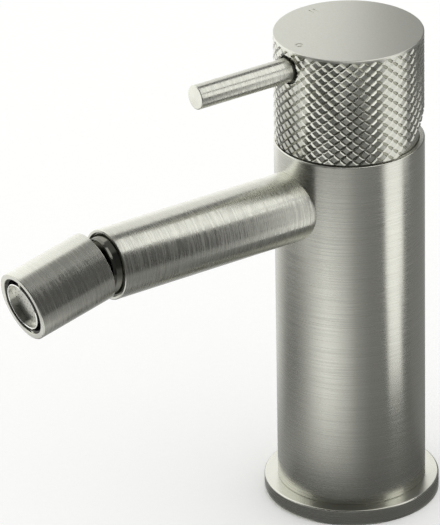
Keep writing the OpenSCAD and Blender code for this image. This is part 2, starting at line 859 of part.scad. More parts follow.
module seat_nut() {
    thread_r = seat_thread_d / 2 - seat_gap;
    color(nickel) on_nozzle() difference() {
        rotate_extrude() polygon([
            [0, -nut_rear],
            [nut_land_d / 2, -nut_rear],
            [thread_r, -nut_corner],
            [thread_r, nut_front],
            [0, nut_front]
        ]);
        sphere(d = ball_d + 2 * ball_gap);
    }
}

module ball_seat() {
    color(white_plastic) on_nozzle() difference() {
        rod(seat_thread_d / 2 - seat_gap, nut_front, web_s);
        sphere(d = ball_d + 2 * ball_gap);
        rod(web_hole_d / 2, 0, web_s + over);
    }
}

module aerator_washer() {
    color(rubber) on_nozzle()
        ring(outlet_d / 2 - seat_gap, washer_hole_d / 2, web_s + web_h, aerator_s);
}

module aerator_housing() {
    floor_s = cup_s + cup_seat;
    sleeve_front = nozzle_front - aerator_set;
    slot_w = key_w + 2 * seat_gap;
    color(black_plastic) on_nozzle() difference() {
        rotate_extrude() polygon([
            [aerator_bore_d / 2, aerator_s],
            [aerator_r, aerator_s],
            [aerator_r, sleeve_front],
            [aerator_sleeve_r, sleeve_front],
            [aerator_sleeve_r, floor_s],
            [cup_r + seat_gap, floor_s],
            [cup_r + seat_gap, cup_s],
            [aerator_bore_d / 2, cup_s]
        ]);
        translate([-slot_w / 2, -outlet_d, key_s]) cube([slot_w, 2 * outlet_d, key_h + over]);
    }
}

module aerator_screen() {
    key_root = cup_r - cup_wall / 2;
    key_end = aerator_r - aerator_wall / 2;
    color("silver") on_nozzle() {
        difference() {
            rotate_extrude() polygon([
                [0, screen_s],
                [screen_r, screen_s],
                [screen_r, cup_s],
                [cup_r, cup_s],
                [cup_r, nozzle_front - cup_edge],
                [cup_r - cup_edge, nozzle_front],
                [screen_r + cup_edge, nozzle_front],
                [screen_r, nozzle_front - cup_edge],
                [screen_r, screen_s + screen_h],
                [0, screen_s + screen_h]
            ]);
            for (hole_ring = [0 : screen_rings], place = [0 : max(6 * hole_ring, 1) - 1])
                rotate([0, 0, 360 * place / max(6 * hole_ring, 1)])
                    translate([hole_ring * screen_spacing, 0, 0])
                        rod(screen_hole_d / 2, screen_s - over, screen_s + screen_h + over);
        }
        for (side = [0, 180])
            rotate([0, 0, side])
                translate([-key_w / 2, key_root, key_s]) cube([key_w, key_end - key_root, key_h]);
    }
}

body();
base_flange();
base_gasket();
inlet_block();
inlet_pipe_hot();
inlet_pipe_cold();
seat_plate();
plate_seal();
port_seals();
cartridge_base();
fixed_disc();
moving_disc();
disc_carrier();
cartridge_housing();
turret();
pivot_pin();
stem();
clamp_nut();
dome_cover();
knob_core();
knurl_sleeve();
lever_rod();
grub_screw();
spout_tube();
spout_nipple();
spout_seal();
spout_collar();
stud_seal();
ball_stud();
stud_clip();
nozzle_shell();
ball_seat();
seat_nut();
aerator_washer();
aerator_housing();
aerator_screen();
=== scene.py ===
"""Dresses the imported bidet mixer: turned nickel pieces, a diamond knurl, finishes, studio and camera."""
import json
import math

import bmesh
import bpy
from mathutils import Matrix, Vector


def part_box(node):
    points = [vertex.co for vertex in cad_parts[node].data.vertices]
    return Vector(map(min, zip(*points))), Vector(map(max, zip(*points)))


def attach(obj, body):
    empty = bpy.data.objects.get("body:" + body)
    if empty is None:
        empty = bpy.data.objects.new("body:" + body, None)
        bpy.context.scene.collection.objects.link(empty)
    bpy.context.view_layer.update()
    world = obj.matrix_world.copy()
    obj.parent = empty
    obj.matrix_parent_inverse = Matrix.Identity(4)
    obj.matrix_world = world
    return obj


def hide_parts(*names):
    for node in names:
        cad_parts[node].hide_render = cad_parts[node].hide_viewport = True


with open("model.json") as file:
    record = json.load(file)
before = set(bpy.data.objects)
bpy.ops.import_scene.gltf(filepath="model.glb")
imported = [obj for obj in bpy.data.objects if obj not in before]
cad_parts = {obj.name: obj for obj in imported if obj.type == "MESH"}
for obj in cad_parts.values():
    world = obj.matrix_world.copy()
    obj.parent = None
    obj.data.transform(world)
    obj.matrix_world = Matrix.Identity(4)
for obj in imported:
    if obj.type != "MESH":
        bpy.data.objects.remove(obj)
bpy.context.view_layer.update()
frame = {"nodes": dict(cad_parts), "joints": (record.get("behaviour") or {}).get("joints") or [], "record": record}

bl_info = {
    "name": "Bidet mixer",
    "version": (1, 0, 0),
    "blender": (4, 5, 0),
    "location": "View3D > Sidebar > Mixer",
    "description": "Builds the visible pieces, finishes and studio of a single-lever bidet mixer",
    "category": "Object",
}

MM = 0.001
TINY = 1e-7
SEGMENTS = 256
PIN_SEGMENTS = 128
SOCKET_SEGMENTS = 96
MARK_SEGMENTS = 48
SMOOTH_ANGLE = math.radians(28)
IMAGE_WIDTH = 440
IMAGE_HEIGHT = 525
SENSOR_WIDTH = 36.0
JOINTS = {joint["name"]: joint for joint in frame["joints"]}
BALL = Vector(JOINTS["nozzle_tilt"]["pos_m"])
PIVOT_HEIGHT = JOINTS["lever_lift"]["pos_m"][2]
NIPPLE_BORE = 7.53 * MM
SOCKET_RADIUS = 4.6 * MM
LEVER_SEAT = 20.6 * MM


def highest(node, axis):
    """Highest place of a CAD node along an axis, in metres."""
    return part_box(node)[1][axis]


def lowest(node, axis):
    """Lowest place of a CAD node along an axis, in metres."""
    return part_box(node)[0][axis]


def length(name, description, default):
    """A property in metres."""
    return bpy.props.FloatProperty(
        name=name, description=description, default=default, unit="LENGTH", precision=5
    )


def shade(name, description, default):
    """A property that holds an sRGB hex colour."""
    return bpy.props.StringProperty(name=name, description=description, default=default)


class MixerSizes(bpy.types.PropertyGroup):
    """Sizes of the visible pieces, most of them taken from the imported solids."""

    barrel_radius: length("Barrel radius", "Outer radius of the barrel", highest("body", 0))
    barrel_height: length("Barrel height", "Height of the barrel's rim", highest("body", 2))
    rim_round: length("Rim round", "Rounding of the barrel's rim", 0.35 * MM)
    flange_radius: length("Flange radius", "Outer radius of the foot", highest("base_flange", 0))
    flange_height: length("Flange height", "Thickness of the foot", highest("base_flange", 2))
    flange_round: length("Flange round", "Rounding of the foot's top edge", 0.5 * MM)
    spout_radius: length("Spout radius", "Outer radius of the spout", highest("spout_tube", 0))
    spout_reach: length("Spout reach", "Distance of the spout's mouth", -lowest("spout_tube", 1))
    nozzle_radius: length("Nozzle radius", "Outer radius of the nozzle", highest("nozzle_shell", 0))
    nozzle_drop: bpy.props.FloatProperty(
        name="Nozzle drop", description="Angle of the nozzle below level at rest",
        default=math.radians(13.4), subtype="ANGLE",
    )
    knob_radius: length("Knob radius", "Radius over the knurl's flats", highest("knob_core", 0))
    knob_foot: length("Knob foot", "Height of the knurl's lower end", lowest("knurl_sleeve", 2))
    knob_top: length("Knob top", "Height of the knob's top", highest("knob_core", 2))
    cap_height: length("Cap height", "Plain rim above the knurl", 0.8 * MM)
    cap_round: length("Cap round", "Rounding of the cap's edge", 0.3 * MM)
    knurl_count: bpy.props.IntProperty(
        name="Diamonds", description="Number of diamonds round the knob",
        default=38, min=12, max=80,
    )
    knurl_rows: bpy.props.IntProperty(
        name="Half diamonds", description="Number of half diamonds up the knob",
        default=21, min=5, max=60,
    )
    knurl_depth: length("Knurl depth", "Depth of a groove of the knurl", 0.46 * MM)
    groove_width: length("Groove width", "Width of a groove of the knurl", 0.95 * MM)
    lever_radius: length("Lever radius", "Radius of the lever", highest("lever_rod", 0))
    lever_reach: length("Lever reach", "Distance of the lever's end", -lowest("lever_rod", 1))
    lever_round: length("Lever round", "Rounding of the lever's end", 0.3 * MM)


class MixerFinish(bpy.types.PropertyGroup):
    """Colours of the finishes, in sRGB hex."""

    nickel: shade("Nickel", "Brushed nickel", "#D3D3C9")
    nickel_line: shade("Nickel line", "Brush lines in the nickel", "#CBCBC1")
    # The knurled nickel is a shade darker than the brushed nickel, a painted shade over the knob's wall.
    nickel_knurl_shade: shade("Knurled nickel", "Rolled nickel of the knob's wall", "#C8C8BE")
    nickel_satin: shade("Satin nickel", "Blasted nickel of the cap and dome", "#D3D3C9")
    # The polished nickel's dark colour is a painted shade for the gaps round the neck and the lever's socket.
    nickel_polished_shade: shade("Polished nickel", "Dark nickel of the neck and socket", "#77776F")
    brass: shade("Brass", "Machined brass", "#C9A45C")
    steel: shade("Steel", "Ground stainless steel", "#C2C2B9")
    # The cup wall's colour, brighter than steel, is a painted highlight for the light on that wall.
    steel_painted_highlight: shade("Bright steel", "Spun wall of the aerator's cup", "#F2F2EC")
    ceramic: shade("Ceramic", "Lapped alumina", "#E6E3DA")
    black_plastic: shade("Black plastic", "Moulded acetal", "#2B2C2F")
    white_plastic: shade("White plastic", "Moulded acetal", "#D6D4CC")
    rubber: shade("Rubber", "Moulded nitrile", "#1C1C1D")


class MixerStudio(bpy.types.PropertyGroup):
    """Camera, floor and light."""

    floor: shade("Floor", "Colour of the floor", "#FCFCFB")
    world_strength: bpy.props.FloatProperty(
        name="World", description="Strength of the white surroundings", default=1.04
    )
    camera_turn: bpy.props.FloatProperty(
        name="Camera turn", description="Angle of the camera round the mixer",
        default=math.radians(54.289), subtype="ANGLE",
    )
    camera_rise: bpy.props.FloatProperty(
        name="Camera rise", description="Angle of the camera above level",
        default=math.radians(26.154), subtype="ANGLE",
    )
    camera_roll: bpy.props.FloatProperty(
        name="Camera roll", description="Turn of the camera about its own line",
        default=math.radians(0.398), subtype="ANGLE",
    )
    camera_distance: length("Camera distance", "Distance from the target", 1825.4 * MM)
    target_height: length("Target height", "Height of the target on the barrel's axis", 76.67 * MM)
    target_x: bpy.props.FloatProperty(
        name="Target across", description="Place of the target in the image",
        default=350.108, subtype="PIXEL",
    )
    target_y: bpy.props.FloatProperty(
        name="Target down", description="Place of the target in the image",
        default=263.674, subtype="PIXEL",
    )
    focal_pixels: bpy.props.FloatProperty(
        name="Focal length", description="Focal length in pixels",
        default=5943.0, subtype="PIXEL",
    )


# Helpers for meshes


def rounded(corners, steps=4, hold=0.12 * MM, most=0.9):
    """Closed section from (radius, place, fillet) corners. Each fillet is an arc with a held edge."""
    points = []
    count = len(corners)
    for index, corner in enumerate(corners):
        here = Vector(corner[:2])
        fillet = corner[2] if len(corner) > 2 else 0.0
        before = Vector(corners[index - 1][:2]) - here
        after = Vector(corners[(index + 1) % count][:2]) - here
        if not fillet:
            points.append(here)
            continue
        room = min(before.length, after.length) / 2
        before.normalize()
        after.normalize()
        half = before.angle(after) / 2
        reach = min(fillet / math.tan(half), room * most)
        radius = reach * math.tan(half)
        middle = here + (before + after).normalized() * (radius / math.sin(half))
        first = here + before * reach - middle
        last = here + after * reach - middle
        sweep = first.angle_signed(last)
        points.append(here + before * min(reach + hold, room))
        for step in range(steps + 1):
            turn = Matrix.Rotation(-sweep * step / steps, 2)
            points.append(middle + turn @ first)
        points.append(here + after * min(reach + hold, room))
    return points


def turned(corners, place=Matrix.Identity(4), segments=SEGMENTS, bend=None):
    """Bmesh of a closed section turned about its axis. Its UV runs along the section, then round it."""
    points = rounded(corners)
    runs = [0.0]
    for index, point in enumerate(points):
        runs.append(runs[-1] + (points[(index + 1) % len(points)] - point).length)
    mesh = bmesh.new()
    uv = mesh.loops.layers.uv.new("UVMap")
    rings = []
    for radius, along in points:
        count = segments if radius > TINY else 1
        ring = []
        for step in range(count):
            angle = 2 * math.pi * step / segments
            spot = Vector((radius * math.cos(angle), radius * math.sin(angle), along))
            ring.append(mesh.verts.new(place @ (bend(spot) if bend else spot)))
        rings.append(ring)
    for index, ring in enumerate(rings):
        other = rings[(index + 1) % len(rings)]
        if len(ring) == 1 and len(other) == 1:
            continue
        for step in range(segments):
            after = step + 1
            spots = [
                (ring, step, index), (ring, after, index),
                (other, after, index + 1), (other, step, index + 1),
            ]
            if len(ring) == 1:
                spots.pop(1)
            if len(other) == 1:
                spots.pop(2)
            face = mesh.faces.new([row[place_on % len(row)] for row, place_on, run in spots])
            for loop, (row, place_on, run) in zip(face.loops, spots):
                loop[uv].uv = (runs[run] / runs[-1], place_on / segments)
    bmesh.ops.recalc_face_normals(mesh, faces=mesh.faces)
    return mesh


def block(low, high):
    """Bmesh of a box between two corners."""
    mesh = bmesh.new()
    bmesh.ops.create_cube(mesh, size=1.0)
    size = Vector(high) - Vector(low)
    middle = (Vector(high) + Vector(low)) / 2
    bmesh.ops.scale(mesh, vec=size, verts=mesh.verts)
    bmesh.ops.translate(mesh, vec=middle, verts=mesh.verts)
    return mesh


def put(name, mesh):
    """Links a bmesh to the scene as an object at the origin."""
    data = bpy.data.meshes.new(name)
    mesh.to_mesh(data)
    mesh.free()
    made = bpy.data.objects.new(name, data)
    bpy.context.scene.collection.objects.link(made)
    return made


def settled(made):
    """Turns an object's modifiers into its plain mesh."""
    bpy.context.view_layer.update()
    graph = bpy.context.evaluated_depsgraph_get()
    data = bpy.data.meshes.new_from_object(made.evaluated_get(graph))
    made.modifiers.clear()
    made.data = data
    data.name = made.name


def carve(made, *cutters):
    """Takes each cutter's shape out of an object."""
    tools = [put("cutter", cutter) for cutter in cutters]
    for tool in tools:
        cut = made.modifiers.new("Cut", "BOOLEAN")
        cut.operation = "DIFFERENCE"
        cut.solver = "EXACT"
        cut.object = tool
    settled(made)
    for tool in tools:
        bpy.data.objects.remove(tool)


def dress(made, body, node, material):
    """Shades an object, gives it its finish, and puts it in the place of its CAD node."""
    made.data.materials.clear()
    made.data.materials.append(material)
    made.data.polygons.foreach_set("use_smooth", [True] * len(made.data.polygons))
    made.data.set_sharp_from_angle(angle=SMOOTH_ANGLE)
    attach(made, body)
    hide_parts(node)


def along_spout(distance=0.0):
    """Place whose Z runs along the spout's axis, away from the barrel."""
    return Matrix.Translation((0, -distance, BALL.z)) @ Matrix.Rotation(math.pi / 2, 4, "X")


def along_nozzle(sizes):
    """Place whose Z runs along the nozzle, from the centre of its ball."""
    return Matrix.Translation(BALL) @ Matrix.Rotation(math.pi / 2 + sizes.nozzle_drop, 4, "X")


def lever_height():
    """Height of the lever's axis."""
    return (highest("lever_rod", 2) + lowest("lever_rod", 2)) / 2


def along_lever():
    """Place whose Z runs along the lever."""
    return Matrix.Translation((0, 0, lever_height())) @ Matrix.Rotation(math.pi / 2, 4, "X")


def in_mm(*corners):
    """Section corners from millimetres to metres."""
    return [tuple(value * MM for value in corner) for corner in corners]


# Helpers for materials


def linear(hex_colour):
    """Linear colour of an sRGB hex value."""
    channels = [int(hex_colour[i:i + 2], 16) / 255 for i in (1, 3, 5)]
    curve = [c / 12.92 if c <= 0.04045 else ((c + 0.055) / 1.055) ** 2.4 for c in channels]
    return (*curve, 1.0)


def feed(tree, node, values):
    """Links or sets a node's inputs."""
    for key, value in values.items():
        if isinstance(value, bpy.types.NodeSocket):
            tree.links.new(value, node.inputs[key])
        else:
            node.inputs[key].default_value = value


def add(tree, kind, links=None, stops=None, **settings):
    """Adds a node with its settings, its linked or plain inputs, and its ramp's stops."""
    node = tree.nodes.new(kind)
    for key, value in settings.items():
        setattr(node, key, value)
    feed(tree, node, links or {})
    for index, (place, colour) in enumerate(stops or []):
        elements = node.color_ramp.elements
        stop = elements[index] if index < 2 else elements.new(place)
        stop.position = place
        stop.color = colour
    return node


def start(name):
    """A material with its tree emptied, its shader and its Object coordinates."""
    material = bpy.data.materials.get(name)
    if material is None:
        material = bpy.data.materials.new(name)
    material.use_nodes = True
    tree = material.node_tree
    tree.nodes.clear()
    shader = add(tree, "ShaderNodeBsdfPrincipled")
    output = add(tree, "ShaderNodeOutputMaterial", {"Surface": shader.outputs["BSDF"]})
    output.is_active_output = True
    coords = add(tree, "ShaderNodeTexCoord")
    return material, tree, shader, coords.outputs["Object"]


def brushed_nickel(name, place=Matrix.Identity(4), run=20 * MM, relief=0.05 * MM, streak=0.065):
    """Nickel plate over brass, brushed round its axis. A line runs on for about the run given."""
    # The brush leaves fine rings, which stretch every highlight along the axis of the piece.
    # Real lines are near 0.05 mm and too fine to show, so they are drawn 0.18 mm apart.
    finish = bpy.context.scene.mixer_finish
    line, band, roughness = 0.18 * MM, 0.54 * MM, 0.265
    material, tree, shader, coords = start(name)
    shape = {
        "Vector": coords,
        "Location": place.translation,
        "Rotation": place.to_euler(),
    }
    fine = add(
        tree, "ShaderNodeMapping", {**shape, "Scale": (run, run, line)}, vector_type="TEXTURE"
    )
    broad = add(
        tree, "ShaderNodeMapping", {**shape, "Scale": (run / 2, run / 2, band)}, vector_type="TEXTURE"
    )
    lines = add(
        tree, "ShaderNodeTexNoise",
        {"Vector": fine.outputs["Vector"], "Scale": 1.0, "Detail": 2.0, "Roughness": 0.6},
    )
    bands = add(
        tree, "ShaderNodeTexNoise",
        {"Vector": broad.outputs["Vector"], "Scale": 1.0, "Detail": 2.0, "Roughness": 0.5},
    )
    both = add(
        tree, "ShaderNodeMix",
        {"Factor": 0.12, "A": lines.outputs["Fac"], "B": bands.outputs["Fac"]},
    )
    colour = add(
        tree, "ShaderNodeValToRGB", {"Fac": both.outputs["Result"]},
        stops=[(0.35, linear(finish.nickel_line)), (0.6, linear(finish.nickel))],
    )
    rough = add(
        tree, "ShaderNodeMapRange",
        {
            "Value": bands.outputs["Fac"], "From Min": 0.35, "From Max": 0.65,
            "To Min": roughness + streak, "To Max": roughness - streak,
        },
    )
    bump = add(
        tree, "ShaderNodeBump",
        {"Height": both.outputs["Result"], "Strength": 0.2, "Distance": relief},
    )
    tangent = add(tree, "ShaderNodeTangent", direction_type="UV_MAP", uv_map="UVMap")
    feed(tree, shader, {
        "Metallic": 1.0, "Anisotropic": 0.55, "Base Color": colour.outputs["Color"],
        "Roughness": rough.outputs["Result"], "Normal": bump.outputs["Normal"],
        "Tangent": tangent.outputs["Tangent"],
    })
    return material


def plain_metal(name, hex_colour, roughness, grain, spread):
    """Metal with an even grain, such as a blasted, polished, ground or machined surface."""
    # The grain shows as a faint unevenness of the gloss and colour, by the spread given.
    material, tree, shader, coords = start(name)
    size = add(
        tree, "ShaderNodeMapping", {"Vector": coords, "Scale": (grain,) * 3}, vector_type="TEXTURE"
    )
    speck = add(
        tree, "ShaderNodeTexNoise",
        {"Vector": size.outputs["Vector"], "Scale": 1.0, "Detail": 4.0, "Roughness": 0.55},
    )
    base = linear(hex_colour)
    deep = (*(c * (1 - spread) for c in base[:3]), 1.0)
    colour = add(
        tree, "ShaderNodeValToRGB", {"Fac": speck.outputs["Fac"]}, stops=[(0.3, deep), (0.6, base)]
    )
    rough = add(
        tree, "ShaderNodeMapRange",
        {
            "Value": speck.outputs["Fac"], "From Min": 0.3, "From Max": 0.7,
            "To Min": roughness * (1 + spread), "To Max": roughness * (1 - spread),
        },
    )
    feed(tree, shader, {
        "Metallic": 1.0, "Base Color": colour.outputs["Color"], "Roughness": rough.outputs["Result"],
    })
    return material


def satin_nickel():
    """Nickel plate over blasted brass, for the knob's cap and the dome."""
    # Blasting leaves an even grain, so the light spreads to a soft sheen that has no direction.
    finish = bpy.context.scene.mixer_finish
    return plain_metal("Nickel plate satin", finish.nickel_satin, 0.3, 0.4 * MM, 0.06)


def spun_cup(name, place, bore):
    """Stainless steel cup with a ground floor and a spun wall, whose brighter colour is a painted highlight."""
    # The tool leaves the wall smooth. The floor inside the bore is ground, and so it is rougher. The wall's colour
    # is also painted brighter than steel, a painted highlight.
    finish = bpy.context.scene.mixer_finish
    material, tree, shader, coords = start(name)
    local = add(
        tree, "ShaderNodeMapping",
        {"Vector": coords, "Location": place.translation, "Rotation": place.to_euler()},
        vector_type="TEXTURE",
    )
    across = add(
        tree, "ShaderNodeVectorMath",
        {0: local.outputs["Vector"], 1: (1.0, 1.0, 0.0)}, operation="MULTIPLY",
    )
    reach = add(tree, "ShaderNodeVectorMath", {0: across.outputs["Vector"]}, operation="LENGTH")
    wall = add(
        tree, "ShaderNodeMapRange",
        {"Value": reach.outputs["Value"], "From Min": bore - 0.1 * MM, "From Max": bore - 0.02 * MM},
    )
    colour = add(
        tree, "ShaderNodeValToRGB", {"Fac": wall.outputs["Result"]},
        stops=[(0.0, linear(finish.steel)), (1.0, linear(finish.steel_painted_highlight))],
    )
    ground, spun = 0.28, 0.16
    rough = add(
        tree, "ShaderNodeMapRange", {"Value": wall.outputs["Result"], "To Min": ground, "To Max": spun}
    )
    feed(tree, shader, {
        "Metallic": 1.0, "Base Color": colour.outputs["Color"], "Roughness": rough.outputs["Result"],
    })
    return material


def moulded(name, hex_colour, roughness, grain, relief):
    """Moulded plastic, rubber or fired ceramic with a fine grain."""
    # Spark-eroded moulds leave a dull grain of about 0.2 mm, drawn at its real size.
    pits, spread = 0.86, 0.06
    material, tree, shader, coords = start(name)
    size = add(
        tree, "ShaderNodeMapping", {"Vector": coords, "Scale": (grain,) * 3}, vector_type="TEXTURE"
    )
    speck = add(
        tree, "ShaderNodeTexNoise",
        {"Vector": size.outputs["Vector"], "Scale": 1.0, "Detail": 3.0, "Roughness": 0.5},
    )
    base = linear(hex_colour)
    deep = (*(c * pits for c in base[:3]), 1.0)
    colour = add(
        tree, "ShaderNodeValToRGB", {"Fac": speck.outputs["Fac"]}, stops=[(0.3, deep), (0.65, base)]
    )
    rough = add(
        tree, "ShaderNodeMapRange",
        {
            "Value": speck.outputs["Fac"], "From Min": 0.3, "From Max": 0.7,
            "To Min": roughness - spread, "To Max": roughness + spread,
        },
    )
    bump = add(
        tree, "ShaderNodeBump",
        {"Height": speck.outputs["Fac"], "Strength": 0.3, "Distance": relief},
    )
    feed(tree, shader, {
        "Base Color": colour.outputs["Color"], "Roughness": rough.outputs["Result"],
        "Normal": bump.outputs["Normal"],
    })
    return material


# The knurl's rule


def knurl_tree(material):
    """Geometry Nodes that lay pairs of diamonds on a grid and wrap them round the knob."""
    tree = bpy.data.node_groups.new("Diamond knurl", "GeometryNodeTree")
    tree.interface.new_socket("Geometry", in_out="OUTPUT", socket_type="NodeSocketGeometry")
    sockets = (
        ("Radius", "NodeSocketFloat"),
        ("Root radius", "NodeSocketFloat"),
        ("Depth", "NodeSocketFloat"),
        ("Flat share", "NodeSocketFloat"),
        ("Half diamond", "NodeSocketVector"),
        ("Grid length", "NodeSocketFloat"),
        ("Grid height", "NodeSocketFloat"),
        ("Middle height", "NodeSocketFloat"),
        ("Diamonds", "NodeSocketInt"),
        ("Rows", "NodeSocketInt"),
    )
    for name, kind in sockets:
        tree.interface.new_socket(name, in_out="INPUT", socket_type=kind)
    given = add(tree, "NodeGroupInput").outputs

    # One diamond: a flat that stands on four groove walls
    square = add(tree, "GeometryNodeMeshCircle", {"Vertices": 4, "Radius": 1.0}, fill_type="NGON")
    outline = add(
        tree, "GeometryNodeTransform",
        {"Geometry": square.outputs["Mesh"], "Scale": given["Half diamond"]},
    )
    raised = add(
        tree, "GeometryNodeExtrudeMesh",
        {"Mesh": outline.outputs["Geometry"], "Offset": (0.0, 0.0, 1.0), "Offset Scale": given["Depth"]},
        mode="FACES",
    )
    flat = add(
        tree, "GeometryNodeScaleElements",
        {
            "Geometry": raised.outputs["Mesh"], "Selection": raised.outputs["Top"],
            "Scale": given["Flat share"],
        },
        domain="FACE",
    )
    diamond = add(tree, "GeometryNodeSubdivideMesh", {"Mesh": flat.outputs["Geometry"], "Level": 1})

    # Its pair fills the space between four diamonds of the grid
    other = add(
        tree, "GeometryNodeTransform",
        {"Geometry": diamond.outputs["Mesh"], "Translation": given["Half diamond"]},
    )
    pair = add(tree, "GeometryNodeJoinGeometry", {"Geometry": diamond.outputs["Mesh"]})
    tree.links.new(other.outputs["Geometry"], pair.inputs["Geometry"])
    grid = add(
        tree, "GeometryNodeMeshGrid",
        {
            "Size X": given["Grid length"], "Size Y": given["Grid height"],
            "Vertices X": given["Diamonds"], "Vertices Y": given["Rows"],
        },
    )
    laid = add(
        tree, "GeometryNodeInstanceOnPoints",
        {"Points": grid.outputs["Mesh"], "Instance": pair.outputs["Geometry"]},
    )
    unrolled = add(tree, "GeometryNodeRealizeInstances", {"Geometry": laid.outputs["Instances"]})

    # Wrap round the knob, with the middle of the grid over the lever
    where = add(tree, "GeometryNodeInputPosition").outputs["Position"]
    spot = add(tree, "ShaderNodeSeparateXYZ", {"Vector": where}).outputs
    angle = add(tree, "ShaderNodeMath", {0: spot["X"], 1: given["Radius"]}, operation="DIVIDE")
    turn = add(tree, "ShaderNodeMath", {0: angle.outputs[0], 1: math.pi / 2}, operation="SUBTRACT")
    reach = add(tree, "ShaderNodeMath", {0: spot["Z"], 1: given["Root radius"]}, operation="ADD")
    rise = add(tree, "ShaderNodeMath", {0: spot["Y"], 1: given["Middle height"]}, operation="ADD")
    straight = add(tree, "ShaderNodeCombineXYZ", {"X": reach.outputs[0], "Z": rise.outputs[0]})
    wrapped = add(
        tree, "ShaderNodeVectorRotate",
        {"Vector": straight.outputs["Vector"], "Angle": turn.outputs[0]}, rotation_type="Z_AXIS",
    )
    bent = add(
        tree, "GeometryNodeSetPosition",
        {"Geometry": unrolled.outputs["Geometry"], "Position": wrapped.outputs["Vector"]},
    )
    joined = add(
        tree, "GeometryNodeMergeByDistance", {"Geometry": bent.outputs["Geometry"], "Distance": 0.01 * MM}
    )
    whole = add(tree, "GeometryNodeRealizeInstances", {"Geometry": joined.outputs["Geometry"]})
    shown = add(
        tree, "GeometryNodeSetMaterial", {"Geometry": whole.outputs["Geometry"], "Material": material}
    )
    add(tree, "NodeGroupOutput", {"Geometry": shown.outputs["Geometry"]})
    return tree


def relief_block(sizes):
    """Bmesh of the wedge that relieves the knob's rear, so that it can tip back over the rim."""
    start_y, knee_y, knee_rise, slope = 1 * MM, 7.5 * MM, 2.4 * MM, math.radians(35)
    drop, past, width = 1 * MM, 1 * MM, sizes.knob_radius * 2
    rear_y = sizes.knob_radius + past
    outline = [
        (start_y - drop * (knee_y - start_y) / knee_rise, sizes.knob_foot - drop),
        (rear_y, sizes.knob_foot - drop),
        (rear_y, sizes.knob_foot + knee_rise + (rear_y - knee_y) * math.tan(slope)),
        (knee_y, sizes.knob_foot + knee_rise),
    ]
    mesh = bmesh.new()
    face = mesh.faces.new([mesh.verts.new((-width, y, z)) for y, z in outline])
    pulled = bmesh.ops.extrude_face_region(mesh, geom=[face])
    moved = [item for item in pulled["geom"] if isinstance(item, bmesh.types.BMVert)]
    bmesh.ops.translate(mesh, vec=(2 * width, 0, 0), verts=moved)
    bmesh.ops.recalc_face_normals(mesh, faces=mesh.faces)
    return mesh


def lever_socket(radius, inner, outer):
    """Bmesh of a round hole along the lever's line."""
    section = [(0, inner), (radius, inner), (radius, outer), (0, outer)]
    return turned(section, along_lever(), SOCKET_SEGMENTS)


def paint_socket_shade(made):
    """Gives the faces of the lever's socket the polished nickel, whose dark colour is a painted shade for the
    shade of its gap.
    """
    made.data.materials.append(bpy.data.materials["Nickel plate polished with painted shade"])
    slack, height = 0.01 * MM, lever_height()
    for face in made.data.polygons:
        x, y, z = face.center
        off_axis = math.hypot(x, z - height)
        if -y > LEVER_SEAT - slack and off_axis < SOCKET_RADIUS + slack:
            face.material_index = 1


# Operators


class MIXER_OT_barrel(bpy.types.Operator):
    """Builds the brushed barrel and its foot flange"""

    bl_idname = "mixer.barrel"
    bl_label = "Barrel and foot"

    def execute(self, context):
        sizes = context.scene.mixer_sizes
        nickel = brushed_nickel(
            "Nickel plate brushed round Z", run=40 * MM, relief=0.005 * MM, streak=0.03
        )
        radius, height = sizes.barrel_radius, sizes.barrel_height
        foot = sizes.flange_height
        spigot, lower_bore, chamber, seat = 20.5 * MM, 17 * MM, 18.7 * MM, 21.4 * MM
        lift, chamber_foot, seat_depth = 0.5 * MM, 86 * MM, 4 * MM
        foot_round, seat_round = 0.25 * MM, 0.1 * MM
        barrel = put("brushed_barrel", turned([
            (lower_bore, lift),
            (spigot, lift),
            (spigot, foot),
            (radius, foot, foot_round),
            (radius, height, sizes.rim_round),
            (seat, height, seat_round),
            (seat, height - seat_depth),
            (chamber, height - seat_depth),
            (chamber, chamber_foot),
            (lower_bore, chamber_foot),
        ]))
        hole = [(0, 0), (NIPPLE_BORE, 0), (NIPPLE_BORE, 2 * radius), (0, 2 * radius)]
        carve(barrel, turned(hole, along_spout(), PIN_SEGMENTS))
        dress(barrel, "root", "body", nickel)

        bore, groove_inner, groove_outer, groove = 20.53 * MM, 21.8 * MM, 25.2 * MM, 1.5 * MM
        floor_round = 0.12 * MM
        flange = put("foot_flange", turned([
            (bore, 0),
            (groove_inner, 0),
            (groove_inner, groove),
            (groove_outer, groove),
            (groove_outer, 0),
            (sizes.flange_radius, 0, floor_round),
            (sizes.flange_radius, foot, sizes.flange_round),
            (bore, foot),
        ]))
        dress(flange, "root", "base_flange", nickel)
        return {"FINISHED"}


